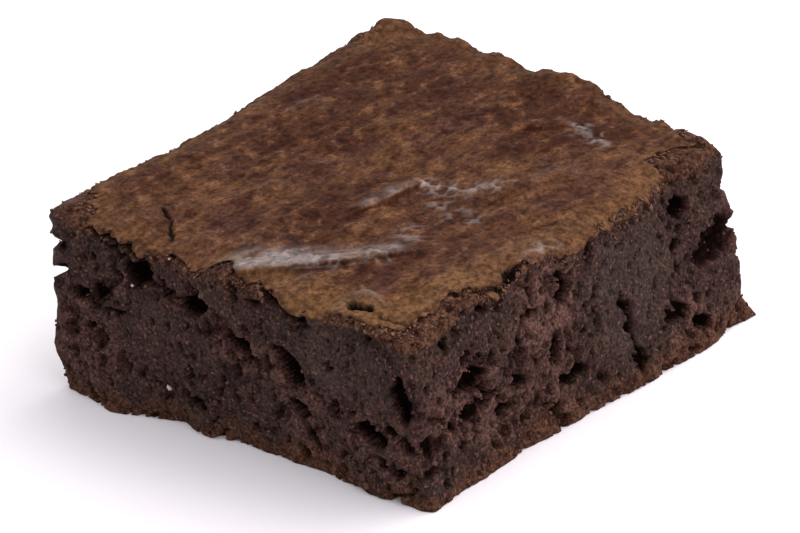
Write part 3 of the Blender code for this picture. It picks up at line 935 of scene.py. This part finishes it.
def make_crumbs(block, material):
    """Loose crumbs that cling to the cut sides, sunk by a third into the surface, more of them where the
    crumb is torn, along the foot and under the crust."""
    count = CRUMB_COUNT
    draw = np.random.RandomState(CRUMB_SEED)
    total = COLUMNS * (SIDE_ROWS + 1)
    places = point_values(block.data, "position", 3)[:total] / MM + MIDDLE
    normals = point_normals(block.data)[:total]
    smear = point_values(block.data, "smear")[:total]
    warm_foot_and_edge = point_values(block.data, "warm_foot_and_edge")[:total]
    hollow = point_values(block.data, "hollow")[:total]
    weight = (0.15 + (1 - smear) ** 2 + 1.5 * warm_foot_and_edge) * (places[:, 2] > 0.35) * (1 - hollow)
    chosen = draw.choice(total, size=count, replace=False, p=weight / weight.sum())
    size = 0.14 + 0.22 * draw.power(0.6, count)
    size *= np.where(draw.uniform(size=count) < 0.08, 1.6, 1.0)
    squash = draw.uniform(0.55, 1.0, size=(count, 1, 3))
    shapes, faces = lumpy_bits(draw, size, squash, random_turns(draw, count))
    middles = places[chosen] + normals[chosen] * (0.25 * size)[:, None]
    middles[:, 2] = np.maximum(middles[:, 2], 0.8 * size)
    points = (shapes + middles[:, None]).reshape(-1, 3)
    points[:, 2] = np.maximum(points[:, 2], 0.02)
    corners = shapes.shape[1]
    tone = np.repeat(draw.uniform(size=count), corners)
    warm = np.repeat(np.clip(0.3 * draw.uniform(size=count) + 0.6 * warm_foot_and_edge[chosen], 0, 1), corners)
    return new_piece("clinging_crumbs", points, faces.tolist(), material, {"tone": tone, "warm_foot_and_edge": warm})


def make_flakes(block, material):
    """Broken flakes of crust that lie on the crumb along the crust's edge: flattened bits, each laid on
    the surface and tipped up a little."""
    count = FLAKE_COUNT
    draw = np.random.RandomState(FLAKE_SEED)
    places = point_values(block.data, "position", 3) / MM + MIDDLE
    normals = point_normals(block.data)
    fewer_at_left = np.where(places[:, 1] - places[:, 0] < 25, 1.0, 0.15)
    weight = point_values(block.data, "shore") ** 1.5 * fewer_at_left
    chosen = draw.choice(len(places), size=count, replace=False, p=weight / weight.sum())
    size = 0.16 + 0.28 * draw.power(0.5, count)
    up = normals[chosen] + 0.35 * draw.normal(size=(count, 3))
    up /= np.linalg.norm(up, axis=1)[:, None]
    across = np.cross(up, draw.normal(size=(count, 3)))
    across /= np.linalg.norm(across, axis=1)[:, None]
    turns = np.stack([across, np.cross(up, across), up], axis=2)
    flatness = np.stack([np.ones(count), draw.uniform(0.5, 0.9, count), np.full(count, 0.22)], axis=1)
    shapes, faces = lumpy_bits(draw, size, flatness[:, None], turns)
    middles = places[chosen] + normals[chosen] * 0.1
    points = (shapes + middles[:, None]).reshape(-1, 3)
    tone = np.repeat(draw.uniform(size=count), shapes.shape[1])
    return new_piece("crust_flakes", points, faces.tolist(), material, {"tone": tone})


def make_flecks(block, material):
    """The few pale flecks: small lumpy bits set on the nearest point of the block's surface."""
    draw = np.random.RandomState(FLECK_SEED)
    places = point_values(block.data, "position", 3) / MM + MIDDLE
    wanted = np.array(FLECKS)
    nearest = [np.argmin(np.linalg.norm(places - fleck[:3], axis=1)) for fleck in wanted]
    squash = draw.uniform(0.5, 1.0, size=(len(wanted), 1, 3))
    shapes, faces = lumpy_bits(draw, wanted[:, 3], squash, random_turns(draw, len(wanted)))
    points = (shapes + places[nearest][:, None]).reshape(-1, 3)
    return new_piece("pale_flecks", points, faces.tolist(), material, {})


def linear(colour):
    """An sRGB hex colour as linear red, green, blue and alpha."""
    channels = [int(colour[start : start + 2], 16) / 255 for start in (1, 3, 5)]
    return [c / 12.92 if c <= 0.04045 else ((c + 0.055) / 1.055) ** 2.4 for c in channels] + [1.0]


def add(tree, kind, settings=None, values=None, links=None):
    """Adds a node: settings are its own properties, values and links go by input number or name."""
    node = tree.nodes.new(kind)
    for name, value in (settings or {}).items():
        setattr(node, name, value)
    for key, value in (values or {}).items():
        node.inputs[key].default_value = value
    for key, source in (links or {}).items():
        tree.links.new(source, node.inputs[key])
    return node


def blend_colours(tree, factor, first, second, mode="MIX"):
    """A colour between two, each a hex colour or a socket, by a socket or a number."""
    values, links = {}, {}
    for key, item in ((0, factor), (6, first), (7, second)):
        if isinstance(item, str):
            values[key] = linear(item)
        elif isinstance(item, (int, float)):
            values[key] = item
        else:
            links[key] = item
    node = add(tree, "ShaderNodeMix", {"data_type": "RGBA", "blend_type": mode}, values, links)
    return node.outputs[2]


def grit(tree, place, size_mm, detail=2.0):
    """Noise whose bumps are about size_mm across, from 0 to 1."""
    return add(
        tree,
        "ShaderNodeTexNoise",
        values={"Scale": 1000 / size_mm * 0.5, "Detail": detail, "Roughness": 0.6},
        links={"Vector": place},
    ).outputs["Fac"]


def ranged(tree, source, low, high, to_low=0.0, to_high=1.0):
    """source, a socket or the name of a reading, taken from low to high and carried to another range,
    held at its ends."""
    if isinstance(source, str):
        source = reading(tree, source)
    return add(
        tree,
        "ShaderNodeMapRange",
        {"clamp": True},
        {1: low, 2: high, 3: to_low, 4: to_high},
        {0: source},
    ).outputs[0]


def reading(tree, name):
    """One of the values that the piece's points carry."""
    return add(tree, "ShaderNodeAttribute", {"attribute_name": name}).outputs["Fac"]


def layered(tree, tone, layers):
    """The tone under layers, each (source, low, high, share, colour): as the source goes from low to
    high, the colour takes up to that share. A source is a socket or the name of a reading."""
    for source, low, high, share, colour in layers:
        tone = blend_colours(tree, ranged(tree, source, low, high, 0.0, share), tone, colour)
    return tone


def bumpy(tree, height, strength, depth):
    """A surface direction with bumps, depth metres high at full strength, where the height is light."""
    values = {"Strength": strength, "Distance": depth}
    return add(tree, "ShaderNodeBump", values=values, links={"Height": height}).outputs[0]


def added(tree, first, second):
    """The sum of two sockets."""
    return add(tree, "ShaderNodeMath", {"operation": "ADD"}, links={0: first, 1: second}).outputs[0]


def new_material(name):
    """A new material, and its node tree."""
    material = bpy.data.materials.new(name)
    material.use_nodes = True
    return material, material.node_tree


def object_place(tree):
    """Each point's place on its own piece, in metres."""
    return add(tree, "ShaderNodeTexCoord").outputs["Object"]


def shaded(material, inputs):
    """The material once its shader's inputs, by name, are set to a value or linked to a socket."""
    tree = material.node_tree
    shader = tree.nodes["Principled BSDF"]
    for name, item in inputs.items():
        if isinstance(item, bpy.types.NodeSocket):
            tree.links.new(item, shader.inputs[name])
        else:
            shader.inputs[name].default_value = item
    return material


def baked_crumb():
    """Fudge brownie crumb: baked cocoa and fat, torn or knife-smeared. Nearly matt, with a dull moist
    sheen on the smears, painted shade in the creases between grains and, almost black, in the holes, and
    warmer towards the foot, just below the crust's edge and where freshly broken."""
    material, tree = new_material("baked_cocoa_crumb")
    place = object_place(tree)
    # Real crumb has grains near 0.1 mm, too fine to show here, so the finest is drawn at about 0.2 mm
    fine = grit(tree, place, 0.22, 1.0)
    coarse = grit(tree, place, 1.2)
    patches = grit(tree, place, 3.5)
    light = blend_colours(tree, ranged(tree, patches, 0.42, 0.58), "#4a372e", "#4f352f")
    smooth = blend_colours(tree, ranged(tree, coarse, 0.35, 0.65), "#392925", "#49362d")
    pulled = blend_colours(tree, ranged(tree, coarse, 0.4, 0.6), "#4d332d", "#715046")
    warm = blend_colours(tree, ranged(tree, coarse, 0.35, 0.65), "#4a2a1a", "#744d34")
    grain = blend_colours(tree, ranged(tree, fine, 0.3, 0.7), "#6c6664", "#ffffff")
    tone = blend_colours(tree, ranged(tree, "tone", 0.1, 0.9), "#2f1e1b", light)
    tone = layered(tree, tone, [
        ("smear", 0.3, 0.8, 0.8, smooth),
        ("torn", 0.1, 0.7, 0.7, pulled),
        ("warm_foot_and_edge", 0.2, 1.0, 0.7, warm),
    ])
    tone = blend_colours(tree, 1.0, tone, grain, "MULTIPLY")
    tone = layered(tree, tone, [
        (grit(tree, place, 0.26, 0.0), 0.7, 0.8, 0.5, "#7a5446"),
        # Painted shade in the creases between the grains
        ("crease", 0.45, 0.8, 0.5, "#150d0c"),
        # Painted shade, almost black, in the pockets, holes and pores and under the crust's lifted lip
        ("hollow", 0.05, 0.8, 0.93, "#090505"),
    ])
    return shaded(material, {
        "Base Color": tone,
        "Roughness": ranged(tree, "smear", 0.3, 0.9, 0.85, 0.65),
        "Specular IOR Level": ranged(tree, "hollow", 0.0, 0.5, 0.14, 0.0),
        "IOR": 1.45,
        "Normal": bumpy(tree, added(tree, fine, coarse), 0.8, 0.00022),
    })


def loose_crumb():
    """The same crumb in loose bits, a little drier and lighter than the block they fell from."""
    material, tree = new_material("loose_cocoa_crumb")
    place = object_place(tree)
    fine = grit(tree, place, 0.3)
    tone = blend_colours(tree, reading(tree, "tone"), "#31201e", "#553a35")
    tone = layered(tree, tone, [
        (fine, 0.35, 0.7, 0.6, "#5a403a"),
        ("warm_foot_and_edge", 0.2, 1.0, 0.7, "#603b2a"),
    ])
    return shaded(material, {
        "Base Color": tone,
        "Roughness": 0.85,
        "Specular IOR Level": 0.12,
        "IOR": 1.45,
        "Normal": bumpy(tree, fine, 0.7, 0.00015),
    })


def papery_crust():
    """Brownie crust: a dried skin of sugar and egg over the crumb. Satin and finely crinkled, shiny on
    the folds, milk-chocolate brown, and lighter tan where it is worn or broken along the edges."""
    material, tree = new_material("dried_sugar_crust")
    place = object_place(tree)
    # The skin's blotches are drawn out along one cut side, as the batter was spread
    spread = {"Rotation": (0.0, 0.0, math.radians(12)), "Scale": (1.0, 0.7, 1.0)}
    drawn = add(tree, "ShaderNodeMapping", values=spread, links={"Vector": place}).outputs[0]
    # The skin's own grain is finer than 0.1 mm, too fine to show here, so it is drawn at 0.4 mm
    fine = grit(tree, place, 0.4)
    mottle = grit(tree, drawn, 0.9, 3.0)
    patches = grit(tree, drawn, 3.2, 4.0)
    broken = blend_colours(tree, ranged(tree, mottle, 0.45, 0.55), "#35211b", "#745139")
    grain = blend_colours(tree, ranged(tree, fine, 0.36, 0.64), "#a8a09c", "#ffffff")
    tone = blend_colours(tree, ranged(tree, patches, 0.42, 0.58), "#6b482c", "#5b3b2d")
    tone = layered(tree, tone, [
        # Painted shade towards the far side, over random blotches and a darker far rim
        ("far_shade_and_blotches", 0.2, 1.0, 0.75, "#412012"),
        (mottle, 0.48, 0.64, 0.85, "#381a0d"),
        (mottle, 0.45, 0.34, 0.55, "#8a6144"),
        (grit(tree, place, 0.4, 0.0), 0.6, 0.72, 0.55, "#33180c"),
        # Lighter along the streaks: partly painted light on the crinkles, partly streaky tone
        ("streak", 0.55, 0.95, 0.5, "#7d573c"),
        # Painted shade in the crinkles' hollows and under the folds' crests
        ("valley_shade", 0.35, 0.9, 0.7, "#34160b"),
        ("rim", 0.2, 1.0, 0.6, "#836140"),
        # Painted sheen: paler colour where the skin is shiny, on top of its real gloss
        ("sheen", 0.0, 0.9, 0.32, "#8f7d77"),
        ("worn", 0.35, 1.0, 0.8, broken),
    ])
    tone = blend_colours(tree, 1.0, tone, grain, "MULTIPLY")
    return shaded(material, {
        # The splits through the crust are painted almost black: painted shade
        "Base Color": blend_colours(tree, reading(tree, "crack_shade"), tone, "#0e0806"),
        "Roughness": ranged(tree, "sheen", 0.0, 0.8, 0.7, 0.3),
        "Specular IOR Level": ranged(tree, "sheen", 0.0, 0.7, 0.05, 1.0),
        "IOR": 1.5,
        "Normal": bumpy(tree, added(tree, fine, mottle), 0.5, 0.00025),
    })


def broken_flake():
    """Loose flakes of the same dried crust, dry and a little golden where they broke."""
    material, tree = new_material("broken_crust_flake")
    place = object_place(tree)
    tone = blend_colours(tree, reading(tree, "tone"), "#432a20", "#76543e")
    tone = layered(tree, tone, [(grit(tree, place, 0.3), 0.4, 0.65, 0.6, "#4f3327")])
    return shaded(
        material, {"Base Color": tone, "Roughness": 0.75, "Specular IOR Level": 0.15, "IOR": 1.5}
    )


def pale_fleck():
    """Pale flecks: off-white, nearly matt and even."""
    material = new_material("off_white_fleck")[0]
    return shaded(material, {"Base Color": linear("#b3a49c"), "Roughness": 0.6, "IOR": 1.5})


def matt_floor():
    """Plain white matt paint: even and without gloss."""
    material = new_material("matt_white_paint")[0]
    return shaded(material, {"Base Color": linear("#f3f0f2"), "Roughness": 0.95})


def make_floor():
    """A plain pale floor just under the base."""
    mesh = bpy.data.meshes.new("floor")
    corners = [(x * FLOOR_HALF, y * FLOOR_HALF, FLOOR_LEVEL) for x, y in CORNER_SIGNS.values()]
    mesh.from_pydata(corners, [], [(0, 1, 2, 3)])
    mesh.materials.append(matt_floor())
    floor = bpy.data.objects.new("floor", mesh)
    bpy.context.scene.collection.objects.link(floor)


def add_light(name, direction, size, power, colour):
    """A square area light in that direction from the brownie, facing it."""
    data = bpy.data.lights.new(name, "AREA")
    data.size = size
    data.energy = power
    data.color = linear(colour)[:3]
    light = bpy.data.objects.new(name, data)
    away = np.array(direction, dtype=float)
    away /= np.linalg.norm(away)
    light.location = away * LIGHT_DISTANCE
    turn_z = math.atan2(away[1], away[0]) + math.pi / 2
    light.rotation_euler = (math.acos(away[2]), 0, turn_z)
    bpy.context.scene.collection.objects.link(light)


def add_lights():
    """Soft daylight from behind and from the right, a faint light that glances over the crust from the
    far left, and a pale room round it all."""
    add_light("window", (0.35, 0.75, 0.9), 1.0, 9.0, "#fffaf8")
    add_light("room", (0.95, 0.0, 0.7), 1.0, 6.0, "#fbf7ff")
    add_light("glancing", (-0.65, 0.65, 0.5), 0.5, 0.7, "#f4f8ff")
    world = bpy.data.worlds.new("pale_room")
    world.use_nodes = True
    background = world.node_tree.nodes["Background"]
    background.inputs["Color"].default_value = linear("#f4f2f6")
    background.inputs["Strength"].default_value = 0.95
    bpy.context.scene.world = world
    bpy.context.scene.view_settings.view_transform = "Standard"


def add_camera():
    """A long lens from in front of the near corner, looking down, and tilted a little to one side."""
    azimuth, elevation, roll = (math.radians(angle) for angle in (46.0, 25.7, -7.55))
    distance = 526.3
    target = np.array([0.47, -1.30, 12.8]) - MIDDLE
    back = np.array([
        math.sin(azimuth) * math.cos(elevation),
        -math.cos(azimuth) * math.cos(elevation),
        math.sin(elevation),
    ])
    level = np.array([math.cos(azimuth), math.sin(azimuth), 0.0])
    upright = np.cross(back, level)
    right = level * math.cos(roll) + upright * math.sin(roll)
    up = upright * math.cos(roll) - level * math.sin(roll)
    data = bpy.data.cameras.new("camera")
    data.lens = 180.0
    data.sensor_width = 36.0
    data.clip_start = 0.01
    camera = bpy.data.objects.new("camera", data)
    place = (target + back * distance) * MM
    rows = [[right[i], up[i], back[i], place[i]] for i in range(3)] + [[0, 0, 0, 1]]
    camera.matrix_world = Matrix(rows)
    bpy.context.scene.collection.objects.link(camera)
    bpy.context.scene.camera = camera


MIDDLE = np.append(footprint_middle(), 0.0)
block = make_crumb_block(baked_crumb())
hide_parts("brownie")
make_crust(papery_crust())
make_crumbs(block, loose_crumb())
make_flakes(block, broken_flake())
make_flecks(block, pale_fleck())
make_floor()
add_lights()
add_camera()
